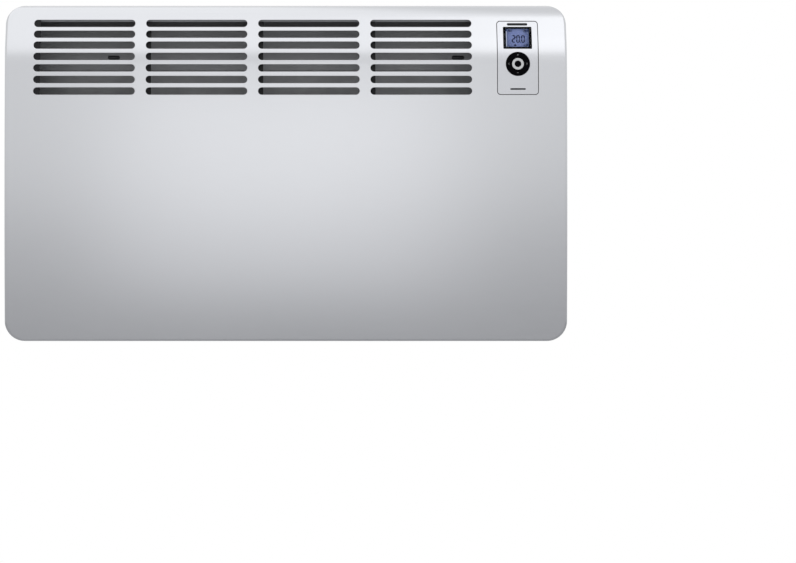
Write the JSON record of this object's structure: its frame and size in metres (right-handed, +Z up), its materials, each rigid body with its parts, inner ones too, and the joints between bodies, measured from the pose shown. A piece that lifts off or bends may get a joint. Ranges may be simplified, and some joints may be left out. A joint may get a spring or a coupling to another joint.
{
  "type": "wall panel convector heater",
  "caption": "Wall-hung electric panel convector heater: bowed brushed metal front with louvres, display, key ring and button, on a latching wall bracket.",
  "frame": {"origin": "centre of the wall bracket's screw pattern, on the wall plane, level with the middle of the heater", "axes": "+Z up, +Y into the wall, +X to the right as seen from the room; the front faces -Y"},
  "size_m": [0.784, 0.13, 0.47],
  "materials": {
    "cover_steel": "fine horizontal brushing, soft sheen",
    "bezel_silver": "satin silver",
    "casing_grey": "satin powder coat",
    "end_plastic": "fine grain",
    "galvanised": "zinc plated sheet",
    "fastener_steel": "zinc plated",
    "spring_steel": "drawn wire",
    "display_glass": "clear gloss",
    "display_black": "gloss black print",
    "lcd": "lit blue-violet crystal",
    "backlight": "milky light guide",
    "key_black": "gloss black",
    "button_silver": "pale silver",
    "inner_plastic": "moulded",
    "rocker_black": "gloss black",
    "board_green": "solder mask",
    "capacitor_yellow": "lacquered",
    "terminal_white": "moulded",
    "element_metal": "annealed tube",
    "fin_aluminium": "mill finish",
    "ceramic_white": "matt",
    "tab_brass": "stamped",
    "wire_sleeve": "silicone sleeve",
    "buffer_rubber": "matt"
  },
  "bodies": {
    "root": {"air_deflector": "galvanised", "board_screws": "fastener_steel", "board_spacers": "fastener_steel", "bottom_grille": "casing_grey", "bracket_bottom_rail": "galvanised", "bracket_top_rail": "galvanised", "bracket_upright_left": "galvanised", "bracket_upright_right": "galvanised", "cable_gland": "inner_plastic", "catch_pins": "fastener_steel", "catch_spring_left": "spring_steel", "catch_spring_right": "spring_steel", "control_bezel": "bezel_silver", "control_board": "board_green", "control_housing": "inner_plastic", "cover_hooks": "galvanised", "cover_screws": "fastener_steel", "display_lens": "display_glass", "display_mask": "display_black", "display_ribbon": "wire_sleeve", "element_bracket_left": "galvanised", "element_bracket_right": "galvanised", "element_bushes": "ceramic_white", "element_fins": "fin_aluminium", "element_leads": "wire_sleeve", "element_terminals": "tab_brass", "end_cap_left": "end_plastic", "end_cap_right": "end_plastic", "filter_capacitor": "capacitor_yellow", "front_cover": "cover_steel", "front_heat_shield": "galvanised", "heat_sink": "fin_aluminium", "heating_tube": "element_metal", "key_switches": "inner_plastic", "lcd_backlight": "backlight", "lcd_panel": "lcd", "mains_switch_body": "inner_plastic", "model_inlay": "key_black", "name_inlay": "key_black", "partition_plate": "galvanised", "power_board": "board_green", "rear_heat_shield": "galvanised", "rear_panel": "casing_grey", "relay": "inner_plastic", "room_sensor": "element_metal", "safety_cutout": "element_metal", "sensor_clip": "inner_plastic", "terminal_beads": "ceramic_white", "terminal_block": "terminal_white", "terminal_screws": "fastener_steel", "top_panel": "casing_grey", "transformer": "inner_plastic", "wall_buffers": "buffer_rubber"},
    "ring_carrier": {"ring_carrier": "inner_plastic"},
    "key_ring": {"key_ring": "key_black"},
    "ok_button": {"ok_button": "button_silver", "ok_inlay": "key_black"},
    "mains_rocker": {"mains_rocker": "rocker_black"},
    "catch_left": {"catch_left": "spring_steel"},
    "catch_right": {"catch_right": "spring_steel"}
  },
  "joints": [
    {"name": "ring_rock_up_down", "type": "hinge", "parent": "root", "child": "ring_carrier", "pos_m": [0.3232, -0.12107, 0.1509], "axis": [1, 0, 0], "range_deg": [-2.5, 2.5], "stiffness_Nm_per_rad": 0.6},
    {"name": "ring_rock_left_right", "type": "hinge", "parent": "ring_carrier", "child": "key_ring", "pos_m": [0.3232, -0.12107, 0.1509], "axis": [0, 0.0872, 0.9962], "range_deg": [-2.5, 2.5], "stiffness_Nm_per_rad": 0.6},
    {"name": "ok_press", "type": "slide", "parent": "root", "child": "ok_button", "axis": [0, 0.9962, -0.0872], "range_m": [0, 0.0008], "stiffness_N_per_m": 3000, "springref_m": -0.0002},
    {"name": "mains_switch", "type": "hinge", "parent": "root", "child": "mains_rocker", "pos_m": [0.3818, -0.078, -0.172], "axis": [0, -1, 0], "range_deg": [0, 20]},
    {"name": "catch_left_release", "type": "hinge", "parent": "root", "child": "catch_left", "pos_m": [-0.246, -0.008, 0.164], "axis": [1, 0, 0], "range_deg": [0, 15], "stiffness_Nm_per_rad": 0.6, "springref_deg": -5.73},
    {"name": "catch_right_release", "type": "hinge", "parent": "root", "child": "catch_right", "pos_m": [0.246, -0.008, 0.164], "axis": [1, 0, 0], "range_deg": [0, 15], "stiffness_Nm_per_rad": 0.6, "springref_deg": -5.73}
  ]
}
